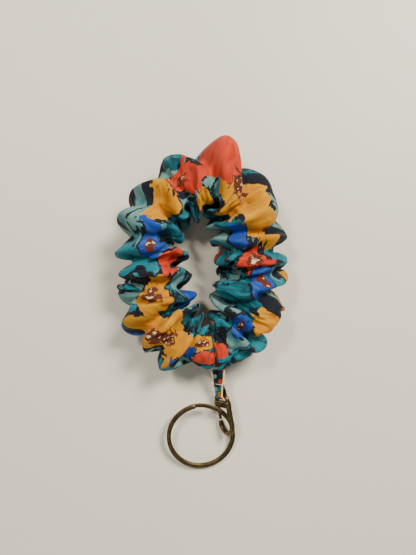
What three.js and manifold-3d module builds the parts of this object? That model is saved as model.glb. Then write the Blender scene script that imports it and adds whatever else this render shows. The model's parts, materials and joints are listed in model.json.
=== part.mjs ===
// Scrunchie wristlet keychain, in millimetres, +Z up, lying on a flat surface at z = 0.
// A gathered fabric sleeve runs round an elastic band. A folded fabric tab leaves the sleeve's seam,
// holds the strap eye of a lobster clasp, and a double-turn split ring hangs in the clasp's claw.
// +Y points from the split ring to the far end of the sleeve. The origin is the bottom centre of the whole.
import * as THREE from "three";
import { mergeVertices } from "three/addons/utils/BufferGeometryUtils.js";
import Module from "manifold-3d";

const wasm = await Module();
wasm.setup();

// ---- Driving dimensions ----

// The loop that the sleeve and the elastic follow, seen from above.
const loopHalfWidth = 20.4; // middle of the loop to the sleeve's centreline at either side
const loopTop = 35.5; // loop centre to the centreline's far end
const loopBottom = 38.5; // loop centre to the seam, where the tab leaves
const seamAside = 5.4; // how far the seam sits off the loop's middle
const seamRise = THREE.MathUtils.degToRad(24); // slope of the centreline as it leaves the seam
const sideEnd = -6; // where the straight sides start to converge on the seam
const seamPull = 0.55; // how far the centreline keeps its slope at the seam, as a share of its half width
const sidePull = 0.5; // how far it keeps straight down after the sides end, as a share of the drop

// Gathered sleeve.
const sleeveReach = 14.6; // half its width, seen from above
const sleeveHalfHeight = 13;
const sleeveEndRadius = 6.6; // where it is gathered into the seam
const sleeveTaper = 17; // length over which it narrows to the seam
const sleeveWall = 1.8; // gathered fabric, folds included
const sleeveSink = 1; // how far the resting sleeve is flattened against the surface
const sleeveSides = 14;
const sleeveSteps = 46;

// Elastic band, a flat strip whose ends overlap.
const elasticWidth = 6;
const elasticThickness = 1.1;
const elasticInset = 0.8; // from the sleeve's centreline towards the wrist
const elasticOverlap = 11;
const elasticSteps = 56;
const joinStitches = 7;
const joinStitchInset = 0.8; // from the elastic's edge to the zigzag's turns
const joinStitchShare = 0.7; // share of the overlap that is stitched

// Sewing thread.
const threadRadius = 0.22;
const threadSides = 6;
const seamThreadStart = 3; // from the sleeve's end to the first stitch of its long seam
const seamThreadPoints = 24;

// Tab: one strap folded round the clasp's bar, its two layers sewn together.
const tabLength = 16.4; // from the sewn end to the bar
const tabGap = 3.3; // from the sleeve's centreline to the sewn end
const tabSeamWidth = 6.6;
const tabFoldWidth = 4.8;
const tabLayer = 1; // thickness of one layer
const tabStitchAt = 6.2; // from the bar to the line of stitches
const tabSeamStitchAt = 1.6; // from the sewn end to the stitches that close it
const tabSeamStitches = 2;
const tabSeamRoll = THREE.MathUtils.degToRad(8); // how far the strap is rolled at the seam
const tabSteps = 10;
const tabFoldSteps = 8;

// Lobster clasp. Its own frame has the bar along x, the claw towards -y and the pin along z.
const claspHalfWidth = 5;
const claspThickness = 2.4;
const claspBevel = 0.7;
const barRadius = 0.75;
const eyeHalfWidth = 3.5; // strap slot
const eyeDrop = 2.6; // bar centre to the slot's far edge
const eyeWall = 0.4; // between the strap slot and the lever's slot
const shankEnd = 5.3; // bar centre to the claw's window
const spineWidth = 1.9;
const clawEnd = 17.8; // bar centre to the outside of the claw
const clawTip = 11.4; // bar centre to the tip that the lever closes on
const eyeCorner = 1.6;
const slotRunOut = 1; // how far the lever's slot is cut past the clasp's outline

// Clasp lever, with its pin and spring.
const leverThickness = 1.2;
const leverWidth = 1.6;
const leverSlot = 1.5; // width of the slot between the clasp's cheeks
const pinRadius = 0.5;
const pinAcross = -3.1;
const pinDown = -4.5;
const pinProud = 0.15; // how far either end of the pin stands out
const leverInset = 0.25; // from the clasp's side to the lever's outer face
const leverBevel = 0.2;
const leverShoulder = 0.95; // pin centre to the lever's upper end
const heelRise = 0.05; // pin centre to the heel that the spring presses on
const heelDrop = 1; // pin centre to the heel's lower face
const nubReach = 1.5; // how far the thumb nub stands out of the clasp's side
const nubTop = 0.7; // pin centre to the nub's upper corner
const nubLow = -0.5; // pin centre to the nub's lower corner
const nubRoot = -1.5; // pin centre to where the nub runs out in the lever's outer face
const springRadius = 0.42;
const springWire = 0.13;
const springTurns = 2.2;
const springAside = 1.75; // pin centre to the spring's axis

// Split ring.
const ringOuterRadius = 15;
const ringWireWidth = 1.9;
const ringWireThickness = 0.9;
const ringCrossover = THREE.MathUtils.degToRad(34); // arc in which the wire steps to its second turn
const ringStart = THREE.MathUtils.degToRad(100);
const ringSteps = 84;
const ringEndGap = 0.03; // arc between the wire's end and the crossover, in radians

// Clearances.
const gap = 0.3; // between pieces that touch
const hardwareGap = 0.15; // between the clasp's own small pieces
const pinGap = 0.08; // round the clasp's pin

// Where the hardware lies on the surface.
const tabHeading = THREE.MathUtils.degToRad(10); // from straight down the loop's middle, to the right
const tabSeamSlope = THREE.MathUtils.degToRad(34); // how steeply the tab leaves the seam
const claspRoll = THREE.MathUtils.degToRad(57); // the spine is up, the lever is down
const claspSlope = THREE.MathUtils.degToRad(2);
const ringHigh = THREE.MathUtils.degToRad(115); // bearing of the ring's highest point, from +X
const ringTilt = THREE.MathUtils.degToRad(12); // the ring is propped up where the claw passes under it
const ringHoldAcross = -0.632; // where the ring's wire passes through the claw, in the clasp's frame
const ringHoldDown = -8.339;
const ringHoldFace = -0.014;
const ringHoldAt = THREE.MathUtils.degToRad(45); // bearing on the ring of the wire in the claw

const up = new THREE.Vector3(0, 0, 1);
const coreHeight = sleeveHalfHeight - sleeveSink;

// ---- Helpers ----

/** A point of a section: centre + a u + b v. */
const offset = (centre, u, a, v, b) => centre.clone().addScaledVector(u, a).addScaledVector(v, b);

/**
 * A closed solid through rings of points with equal counts, each anticlockwise about the way the rings run.
 * It closes on its first ring, or is capped at both ends.
 */
function loft(rings, closed = false) {
  const sides = rings[0].length;
  const index = [];
  const spans = closed ? rings.length : rings.length - 1;
  for (let i = 0; i < spans; i++) {
    const here = i * sides;
    const next = ((i + 1) % rings.length) * sides;
    for (let j = 0; j < sides; j++) {
      const k = (j + 1) % sides;
      index.push(here + j, here + k, next + k, here + j, next + k, next + j);
    }
  }
  if (!closed) {
    const end = (rings.length - 1) * sides;
    for (let j = 1; j < sides - 1; j++) {
      index.push(0, j + 1, j, end, end + j, end + j + 1);
    }
  }
  const geometry = new THREE.BufferGeometry().setFromPoints(rings.flat());
  geometry.setIndex(index);
  return geometry;
}

/** Points of an ellipse in the plane of u and v, anticlockwise from u to v. */
function ellipse(centre, u, reachU, v, reachV, sides) {
  return Array.from({ length: sides }, (_, j) => {
    const angle = ((j + 0.5) / sides) * 2 * Math.PI;
    return offset(centre, u, reachU * Math.cos(angle), v, reachV * Math.sin(angle));
  });
}

/** Corners of a rectangle in the plane of u and v, anticlockwise from u to v. */
function rectangle(centre, u, halfU, v, halfV) {
  return [
    offset(centre, u, halfU, v, -halfV),
    offset(centre, u, halfU, v, halfV),
    offset(centre, u, -halfU, v, halfV),
    offset(centre, u, -halfU, v, -halfV),
  ];
}

/** A thread along a curve. */
function thread(curve, steps, radius = threadRadius) {
  const section = new THREE.Shape(
    Array.from({ length: threadSides }, (_, j) => {
      const angle = (j / threadSides) * 2 * Math.PI;
      return new THREE.Vector2(radius * Math.cos(angle), radius * Math.sin(angle));
    }),
  );
  return new THREE.ExtrudeGeometry(section, { steps, bevelEnabled: false, extrudePath: curve });
}

/** The manifold solid of a closed geometry. */
function solidOf(geometry) {
  const bare = geometry.index ? geometry.toNonIndexed() : geometry.clone();
  bare.deleteAttribute("normal");
  bare.deleteAttribute("uv");
  const merged = mergeVertices(bare, 1e-4);
  return new wasm.Manifold(
    new wasm.Mesh({
      numProp: 3,
      vertProperties: new Float32Array(merged.attributes.position.array),
      triVerts: new Uint32Array(merged.index.array),
    }),
  );
}

/** The geometry of a manifold solid. */
function geometryOf(solid) {
  const made = solid.getMesh();
  const geometry = new THREE.BufferGeometry();
  geometry.setAttribute("position", new THREE.BufferAttribute(made.vertProperties, 3));
  geometry.setIndex(new THREE.BufferAttribute(made.triVerts, 1));
  return geometry;
}

/** A flat outline given thickness about z = 0, with rounded edges if bevel is not 0. */
function plate(shape, thickness, bevel = 0, curveSegments = 10) {
  const geometry = new THREE.ExtrudeGeometry(shape, {
    depth: thickness - 2 * bevel,
    bevelEnabled: bevel > 0,
    bevelThickness: bevel,
    bevelSize: bevel,
    bevelOffset: -bevel,
    bevelSegments: 2,
    curveSegments,
  });
  return geometry.translate(0, 0, bevel - thickness / 2);
}

/** A cylinder along z, centred on (x, y, 0). */
function rod(radius, length, x, y, sides = 16) {
  return new THREE.CylinderGeometry(radius, radius, length, sides).rotateX(Math.PI / 2).translate(x, y, 0);
}

const smooth = (t) => THREE.MathUtils.smoothstep(t, 0, 1);

// ---- The loop ----

const seam = new THREE.Vector2(seamAside, -loopBottom);
const arcCentre = loopTop - loopHalfWidth;

/** The sleeve's centreline from above, anticlockwise from the seam: a round far end and straight sides. */
function makeLoop() {
  const leave = (side) => {
    const reach = seamPull * (loopHalfWidth - side * seamAside);
    return [seam.x + side * reach * Math.cos(seamRise), seam.y + reach * Math.sin(seamRise)];
  };
  const drop = sidePull * (sideEnd + loopBottom);
  const loop = new THREE.Path();
  loop.moveTo(seam.x, seam.y);
  loop.bezierCurveTo(...leave(1), loopHalfWidth, sideEnd - drop, loopHalfWidth, sideEnd);
  loop.lineTo(loopHalfWidth, arcCentre);
  loop.absarc(0, arcCentre, loopHalfWidth, 0, Math.PI, false);
  loop.lineTo(-loopHalfWidth, sideEnd);
  loop.bezierCurveTo(-loopHalfWidth, sideEnd - drop, ...leave(-1), seam.x, seam.y);
  return loop;
}

const loop = makeLoop();
const loopLength = loop.getLength();

/** Place and outward direction on the loop at a distance from the seam, moved outward by some amount. */
function onLoop(distance, outward = 0, height = coreHeight) {
  const u = THREE.MathUtils.euclideanModulo(distance / loopLength, 1);
  const point = loop.getPointAt(u);
  const along = loop.getTangentAt(u);
  const out = new THREE.Vector3(along.y, -along.x, 0);
  const place = new THREE.Vector3(point.x, point.y, height).addScaledVector(out, outward);
  return { place, out };
}

// ---- Sleeve, elastic and their thread ----

/** The sleeve's end faces meet at the seam in a V, so each stops this far short of it. */
const sleeveSetback = sleeveEndRadius * Math.tan(seamRise) + gap;

function sleeveRing(distance, inset) {
  const { place, out } = onLoop(distance);
  const fromEnd = Math.min(distance, loopLength - distance) - sleeveSetback;
  const full = smooth(fromEnd / sleeveTaper);
  const reach = THREE.MathUtils.lerp(sleeveEndRadius, sleeveReach, full) - inset;
  const height = THREE.MathUtils.lerp(sleeveEndRadius, sleeveHalfHeight, full) - inset;
  const ring = ellipse(place, up, height, out, reach, sleeveSides);
  ring.forEach((point) => (point.z = Math.max(point.z, inset)));
  return ring;
}

/** An open fabric tube: out along its outside and back along its inside. */
function makeSleeve() {
  const run = loopLength - 2 * sleeveSetback;
  const distances = Array.from({ length: sleeveSteps + 1 }, (_, i) => sleeveSetback + (run * i) / sleeveSteps);
  const outside = distances.map((d) => sleeveRing(d, 0));
  const inside = distances.map((d) => sleeveRing(d, sleeveWall)).reverse();
  return loft([...outside, ...inside], true);
}

/** The two ends of the elastic lie one behind the other, so the strip runs slightly spirally. */
const elasticStep = elasticThickness + gap;

function elasticOffset(distance) {
  return -elasticInset - (elasticStep * distance) / loopLength;
}

function makeElastic() {
  const start = loopLength / 2;
  const run = loopLength + elasticOverlap;
  const rings = Array.from({ length: elasticSteps + 1 }, (_, i) => {
    const distance = (run * i) / elasticSteps;
    const { place, out } = onLoop(start + distance, elasticOffset(distance));
    return rectangle(place, up, elasticWidth / 2, out, elasticThickness / 2);
  });
  return loft(rings);
}

/** Zigzag stitches on the inner face of the elastic's join. */
function makeElasticStitches() {
  const reach = elasticWidth / 2 - joinStitchInset;
  const start = loopLength / 2;
  const inner = elasticOffset(loopLength + elasticOverlap) - elasticThickness / 2 - gap - threadRadius;
  const points = Array.from({ length: joinStitches + 1 }, (_, i) => {
    const share = 0.5 + joinStitchShare * (i / joinStitches - 0.5);
    const distance = start + elasticOverlap * share;
    return onLoop(distance, inner, coreHeight + (i % 2 ? reach : -reach)).place;
  });
  return thread(new THREE.CatmullRomCurve3(points, false, "catmullrom", 0.1), 6 * joinStitches);
}

/** The thread that closes the tube lengthwise, inside the sleeve along its underside. */
function makeSleeveSeamThread() {
  const clear = sleeveSetback + seamThreadStart;
  const run = loopLength - 2 * clear;
  const points = Array.from({ length: seamThreadPoints + 1 }, (_, i) => {
    const distance = clear + (run * i) / seamThreadPoints;
    const ring = sleeveRing(distance, sleeveWall + 2 * gap + threadRadius);
    const floor = Math.min(...ring.map((p) => p.z));
    return onLoop(distance, 0, floor).place;
  });
  return thread(new THREE.CatmullRomCurve3(points), 2 * seamThreadPoints);
}

// ---- Tab ----

const heading = new THREE.Vector3(Math.sin(tabHeading), -Math.cos(tabHeading), 0);
const across = new THREE.Vector3(Math.cos(tabHeading), Math.sin(tabHeading), 0);

/** Frame of the hardware at a roll about the heading and a slope below level. */
function frameAt(roll, slope) {
  const down = heading.clone().multiplyScalar(Math.cos(slope)).addScaledVector(up, -Math.sin(slope));
  const width = across.clone().multiplyScalar(Math.cos(roll)).addScaledVector(up, Math.sin(roll));
  const face = new THREE.Vector3().crossVectors(down, width).normalize();
  return { down, width: new THREE.Vector3().crossVectors(face, down), face };
}

const tabTop = new THREE.Vector3(seam.x, seam.y, coreHeight).addScaledVector(heading, tabGap);
const foldRadius = barRadius + gap + tabLayer / 2;
const layerOffset = (tabLayer + gap) / 2;
const tabBend = (claspSlope - tabSeamSlope) / tabLength;

/** Place and directions on the tab at a distance from the bar. It levels out from the seam to the bar. */
function onTab(fromBar) {
  const share = fromBar / tabLength;
  const slope = THREE.MathUtils.lerp(claspSlope, tabSeamSlope, share);
  const roll = THREE.MathUtils.lerp(claspRoll, tabSeamRoll, share);
  const forward = (Math.sin(slope) - Math.sin(tabSeamSlope)) / tabBend;
  const rise = (Math.cos(slope) - Math.cos(tabSeamSlope)) / tabBend;
  return {
    ...frameAt(roll, slope),
    place: offset(tabTop, heading, forward, up, rise),
    halfWidth: THREE.MathUtils.lerp(tabFoldWidth, tabSeamWidth, share) / 2,
    lift: THREE.MathUtils.lerp(foldRadius, layerOffset, share),
  };
}

const fold = onTab(0);

/** Down the upper layer, round the bar and back up the lower layer. */
function makeTab() {
  const rings = [];
  for (let i = 0; i < tabSteps; i++) {
    const { place, width, face, halfWidth, lift } = onTab(tabLength * (1 - i / tabSteps));
    rings.push(rectangle(offset(place, face, lift, width, 0), width, halfWidth, face, tabLayer / 2));
  }
  for (let i = 0; i <= tabFoldSteps; i++) {
    const angle = (Math.PI * i) / tabFoldSteps;
    const outward = offset(new THREE.Vector3(), fold.face, Math.cos(angle), fold.down, Math.sin(angle));
    const centre = fold.place.clone().addScaledVector(outward, foldRadius);
    rings.push(rectangle(centre, fold.width, fold.halfWidth, outward, tabLayer / 2));
  }
  for (let i = tabSteps - 1; i >= 0; i--) {
    const { place, width, face, halfWidth, lift } = onTab(tabLength * (1 - i / tabSteps));
    rings.push(rectangle(offset(place, face, -lift, width, 0), width, halfWidth, face, -tabLayer / 2));
  }
  return loft(rings);
}

/** A thread wound round both layers of the tab, starting and ending under its middle. */
function windThread(fromBar, turns, pitch) {
  const { place, down, width, face, halfWidth, lift } = onTab(fromBar);
  const clear = 2 * gap + threadRadius;
  const reachWidth = halfWidth + clear;
  const reachFace = lift + tabLayer / 2 + clear;
  const count = 16 * turns;
  const points = Array.from({ length: count }, (_, i) => {
    const angle = -Math.PI / 2 + (2 * Math.PI * turns * (i + 0.5)) / count;
    const c = Math.cos(angle);
    const s = Math.sin(angle);
    const square = Math.max(Math.abs(c), Math.abs(s));
    const centre = place.clone().addScaledVector(down, (pitch * turns * i) / count);
    return offset(centre, width, (reachWidth * c) / square, face, (reachFace * s) / square);
  });
  return thread(new THREE.CatmullRomCurve3(points, false, "catmullrom", 0.2), 32 * turns);
}

// ---- Clasp ----

const windowLeft = -claspHalfWidth + spineWidth;
const windowRight = claspHalfWidth - spineWidth;
const clawCentre = -clawEnd + claspHalfWidth;
const clawInner = claspHalfWidth - spineWidth;

/** Outline of the clasp from the eye's round corners to the round claw, open where the lever closes it. */
function claspShape() {
  const cornerY = barRadius - eyeCorner;
  const cornerX = claspHalfWidth - eyeCorner;
  const shape = new THREE.Shape();
  shape.moveTo(windowRight, -shankEnd);
  shape.lineTo(-claspHalfWidth, -shankEnd);
  shape.absarc(-cornerX, cornerY, eyeCorner, Math.PI, Math.PI / 2, true);
  shape.absarc(cornerX, cornerY, eyeCorner, Math.PI / 2, 0, true);
  shape.absarc(0, clawCentre, claspHalfWidth, 0, -Math.PI, true);
  shape.lineTo(-claspHalfWidth, -clawTip);
  shape.lineTo(windowLeft, -clawTip);
  shape.absarc(0, clawCentre, clawInner, -Math.PI, 0, false);
  shape.closePath();
  return shape;
}

/** The opening for the strap, which the round bar then closes. */
function eyeOpening() {
  const depth = eyeDrop + 2 * barRadius;
  return new THREE.BoxGeometry(2 * eyeHalfWidth, depth, 2 * claspThickness).translate(0, depth / 2 - eyeDrop, 0);
}

/** The round bar that the strap folds over, let into the eye's sides. */
function eyeBar() {
  return rod(barRadius, eyeHalfWidth + claspHalfWidth, 0, 0).rotateY(Math.PI / 2);
}

/** The lever's slot between the two cheeks, open to the side and to the window, with room for the spring. */
function leverSlotCut() {
  const left = -claspHalfWidth - slotRunOut;
  const right = springAcross + springRadius + springWire + hardwareGap;
  const top = -eyeDrop - eyeWall;
  const low = -shankEnd - slotRunOut;
  const cut = new THREE.BoxGeometry(right - left, top - low, leverSlot);
  return cut.translate((left + right) / 2, (top + low) / 2, 0);
}

const springAcross = pinAcross + springAside;
const springTop = -eyeDrop - eyeWall - hardwareGap - springWire;
const heelTop = pinDown + heelRise;
const springBottom = heelTop + hardwareGap + springWire;

function makeClaspBody() {
  const pinHole = rod(pinRadius + pinGap, 2 * claspThickness, pinAcross, pinDown);
  const body = solidOf(plate(claspShape(), claspThickness, claspBevel))
    .subtract(solidOf(eyeOpening()))
    .add(solidOf(eyeBar()))
    .subtract(solidOf(leverSlotCut()))
    .subtract(solidOf(pinHole));
  return geometryOf(body);
}

/** Gate from the pin to the claw's tip, with a heel for the spring and a nub for the thumb. */
function makeLever() {
  const left = -claspHalfWidth + leverInset;
  const right = left + leverWidth;
  const gate = new THREE.Shape();
  gate.moveTo(left, -clawTip + gap);
  gate.lineTo(right, -clawTip + gap);
  gate.lineTo(right, pinDown - heelDrop);
  gate.lineTo(springAcross + springRadius, pinDown - heelDrop);
  gate.lineTo(springAcross + springRadius, heelTop);
  gate.lineTo(springAcross - springRadius - 2 * springWire, heelTop);
  gate.lineTo(pinAcross, pinDown + leverShoulder);
  gate.lineTo(left, pinDown + leverShoulder);
  gate.lineTo(-claspHalfWidth - nubReach, pinDown + nubTop);
  gate.lineTo(-claspHalfWidth - nubReach, pinDown + nubLow);
  gate.lineTo(left, pinDown + nubRoot);
  gate.closePath();
  const hole = rod(pinRadius + pinGap, 2 * claspThickness, pinAcross, pinDown);
  return geometryOf(solidOf(plate(gate, leverThickness, leverBevel)).subtract(solidOf(hole)));
}

const makePin = () => rod(pinRadius, claspThickness + 2 * pinProud, pinAcross, pinDown);

/** A small compression spring between the shank and the lever's heel, its axis along the clasp. */
function makeSpring() {
  const count = 12 * springTurns;
  const points = Array.from({ length: count + 1 }, (_, i) => {
    const angle = (2 * Math.PI * springTurns * i) / count;
    const y = THREE.MathUtils.lerp(springTop, springBottom, i / count);
    return new THREE.Vector3(
      springAcross + springRadius * Math.cos(angle),
      y,
      springRadius * Math.sin(angle),
    );
  });
  return thread(new THREE.CatmullRomCurve3(points), 40, springWire);
}

// ---- Split ring ----

const ringRadius = ringOuterRadius - ringWireWidth / 2;

/** One wire in two turns, which steps from the upper to the lower turn beside its own first end. */
function makeRing() {
  const rise = ringWireThickness + hardwareGap;
  const sweep = 4 * Math.PI - ringCrossover - ringEndGap;
  const rings = Array.from({ length: ringSteps + 1 }, (_, i) => {
    const turned = (sweep * i) / ringSteps;
    const stepped = smooth((turned - (2 * Math.PI - ringCrossover)) / ringCrossover);
    const angle = ringStart + turned;
    const out = new THREE.Vector3(Math.cos(angle), Math.sin(angle), 0);
    const place = out.clone().multiplyScalar(ringRadius);
    place.z = rise * (0.5 - stepped);
    return ellipse(place, up, ringWireThickness / 2, out, ringWireWidth / 2, 8);
  });
  return loft(rings);
}

// ---- Materials and assembly ----

const material = (color, roughness, metalness) => new THREE.MeshStandardMaterial({ color, roughness, metalness });
const printedFabric = material(0x1d7f89, 0.85, 0);
const elastic = material(0xece8df, 0.9, 0);
const whiteThread = material(0xe9e6e0, 0.8, 0);
const antiqueBrass = material(0x7a6238, 0.35, 1);
const springSteel = material(0x9a9a98, 0.3, 1);

const wristlet = new THREE.Group();

function add(parent, name, geometry, look) {
  const mesh = new THREE.Mesh(geometry, look);
  mesh.name = name;
  parent.add(mesh);
}

add(wristlet, "sleeve_fabric", makeSleeve(), printedFabric);
add(wristlet, "sleeve_seam_thread", makeSleeveSeamThread(), whiteThread);
add(wristlet, "elastic_band", makeElastic(), elastic);
add(wristlet, "elastic_join_stitches", makeElasticStitches(), whiteThread);
add(wristlet, "tab_strap", makeTab(), printedFabric);
add(wristlet, "tab_stitch", windThread(tabStitchAt, 1, 0), whiteThread);
add(wristlet, "tab_seam_thread", windThread(tabLength - tabSeamStitchAt, tabSeamStitches, 3 * threadRadius), whiteThread);

// The clasp's bar runs through the tab's fold. The tab sits towards the spine's end of the slot.
const clasp = new THREE.Group();
const tabAside = eyeHalfWidth - gap - tabFoldWidth / 2;
clasp.matrix.makeBasis(fold.width, fold.down.clone().negate(), fold.face);
clasp.matrix.setPosition(fold.place.clone().addScaledVector(fold.width, -tabAside));
clasp.matrixAutoUpdate = false;
add(clasp, "clasp_body", makeClaspBody(), antiqueBrass);
add(clasp, "clasp_lever", makeLever(), antiqueBrass);
add(clasp, "clasp_pin", makePin(), antiqueBrass);
add(clasp, "clasp_spring", makeSpring(), springSteel);
wristlet.add(clasp);

// The ring's wire passes through the claw's window at its hold.
const ring = new THREE.Group();
const tiltAxis = new THREE.Vector3(Math.sin(ringHigh), -Math.cos(ringHigh), 0);
ring.quaternion.setFromAxisAngle(tiltAxis, ringTilt);
const hold = new THREE.Vector3(ringHoldAcross, ringHoldDown, ringHoldFace).applyMatrix4(clasp.matrix);
const toHold = new THREE.Vector3(Math.cos(ringHoldAt), Math.sin(ringHoldAt), 0).applyQuaternion(ring.quaternion);
ring.position.copy(hold).addScaledVector(toHold, -ringRadius);
add(ring, "split_ring", makeRing(), antiqueBrass);
wristlet.add(ring);

// The origin is the bottom centre of the whole.
wristlet.updateMatrixWorld(true);
const box = new THREE.Box3().setFromObject(wristlet, true);
const middle = box.getCenter(new THREE.Vector3());
wristlet.position.set(-middle.x, -middle.y, -box.min.z);

export default wristlet;
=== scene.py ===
"""A scrunchie wristlet keychain: gathered printed sleeve, sewn tab, lobster clasp and split ring.

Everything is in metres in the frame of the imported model: +Y runs from the split ring to the far
end of the wrist loop, +Z is up, and the keychain lies on z = 0.
"""

from __future__ import annotations

import json
import logging
import math
from dataclasses import dataclass, field, replace
from enum import Enum
from typing import Callable, Iterable, Sequence

import bmesh
import bpy
import numpy as np
from mathutils import Matrix, Vector, geometry


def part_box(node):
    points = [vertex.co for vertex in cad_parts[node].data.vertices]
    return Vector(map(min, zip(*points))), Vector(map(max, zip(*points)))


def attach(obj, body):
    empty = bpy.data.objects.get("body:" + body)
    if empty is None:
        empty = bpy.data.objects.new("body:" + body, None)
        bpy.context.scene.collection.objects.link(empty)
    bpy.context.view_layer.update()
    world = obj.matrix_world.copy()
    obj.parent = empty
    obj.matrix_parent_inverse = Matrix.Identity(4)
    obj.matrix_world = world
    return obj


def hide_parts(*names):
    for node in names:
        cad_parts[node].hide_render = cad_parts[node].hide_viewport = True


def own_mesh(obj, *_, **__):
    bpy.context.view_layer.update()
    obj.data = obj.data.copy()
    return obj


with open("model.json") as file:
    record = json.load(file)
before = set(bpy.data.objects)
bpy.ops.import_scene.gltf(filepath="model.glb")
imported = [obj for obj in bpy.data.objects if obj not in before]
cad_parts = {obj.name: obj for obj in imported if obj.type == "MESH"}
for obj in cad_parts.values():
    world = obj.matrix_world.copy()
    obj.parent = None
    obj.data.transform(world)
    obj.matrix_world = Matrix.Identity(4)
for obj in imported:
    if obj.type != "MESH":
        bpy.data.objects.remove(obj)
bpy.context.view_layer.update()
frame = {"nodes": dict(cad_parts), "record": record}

log = logging.getLogger("wristlet")
MM = 0.001
UP = Vector((0.0, 0.0, 1.0))

Colour = tuple[float, float, float]


def lerp(a: float, b: float, t: float) -> float:
    """Mix two numbers."""
    return a + (b - a) * t


def ease(t: float) -> float:
    """Smooth step from 0 to 1 that is clamped outside."""
    t = min(max(t, 0.0), 1.0)
    return t * t * (3.0 - 2.0 * t)


# ---------------------------------------------------------------- shader helpers


class Value:
    """A number socket of a shader, which ordinary arithmetic turns into Math nodes."""

    def __init__(self, graph: "Graph", socket: bpy.types.NodeSocket) -> None:
        self.graph = graph
        self.socket = socket

    def math(self, operation: str, *others: "Value | float", clamp: bool = False) -> "Value":
        """Apply one Math node.

        Args:
            operation: The Math node's operation.
            others: Its second and third values.
            clamp: Whether the result is kept from 0 to 1.

        Returns:
            The node's result.
        """
        inputs = {0: self, **{i + 1: other for i, other in enumerate(others)}}
        node = self.graph.node("ShaderNodeMath", {"operation": operation, "use_clamp": clamp}, inputs)
        return Value(self.graph, node.outputs[0])

    def __add__(self, other: "Value | float") -> "Value":
        return self.math("ADD", other)

    __radd__ = __add__

    def __sub__(self, other: "Value | float") -> "Value":
        return self.math("SUBTRACT", other)

    def __rsub__(self, other: "Value | float") -> "Value":
        return (self * -1.0) + other

    def __mul__(self, other: "Value | float") -> "Value":
        return self.math("MULTIPLY", other)

    __rmul__ = __mul__

    def __truediv__(self, other: "Value | float") -> "Value":
        return self.math("DIVIDE", other)

    def __gt__(self, other: "Value | float") -> "Value":
        return self.math("GREATER_THAN", other)

    def __lt__(self, other: "Value | float") -> "Value":
        return self.math("LESS_THAN", other)

    def sin(self) -> "Value":
        """Sine of the value."""
        return self.math("SINE")

    def abs(self) -> "Value":
        """Size of the value without its sign."""
        return self.math("ABSOLUTE")

    def clamp(self) -> "Value":
        """The value kept from 0 to 1."""
        return self.math("ADD", 0.0, clamp=True)

    def step(self, low: float | "Value", high: float | "Value") -> "Value":
        """Smooth step from 0 at low to 1 at high, or down if high is the smaller."""
        inputs = {"Value": self, "From Min": low, "From Max": high}
        node = self.graph.node("ShaderNodeMapRange", {"interpolation_type": "SMOOTHSTEP"}, inputs)
        return Value(self.graph, node.outputs["Result"])


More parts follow.
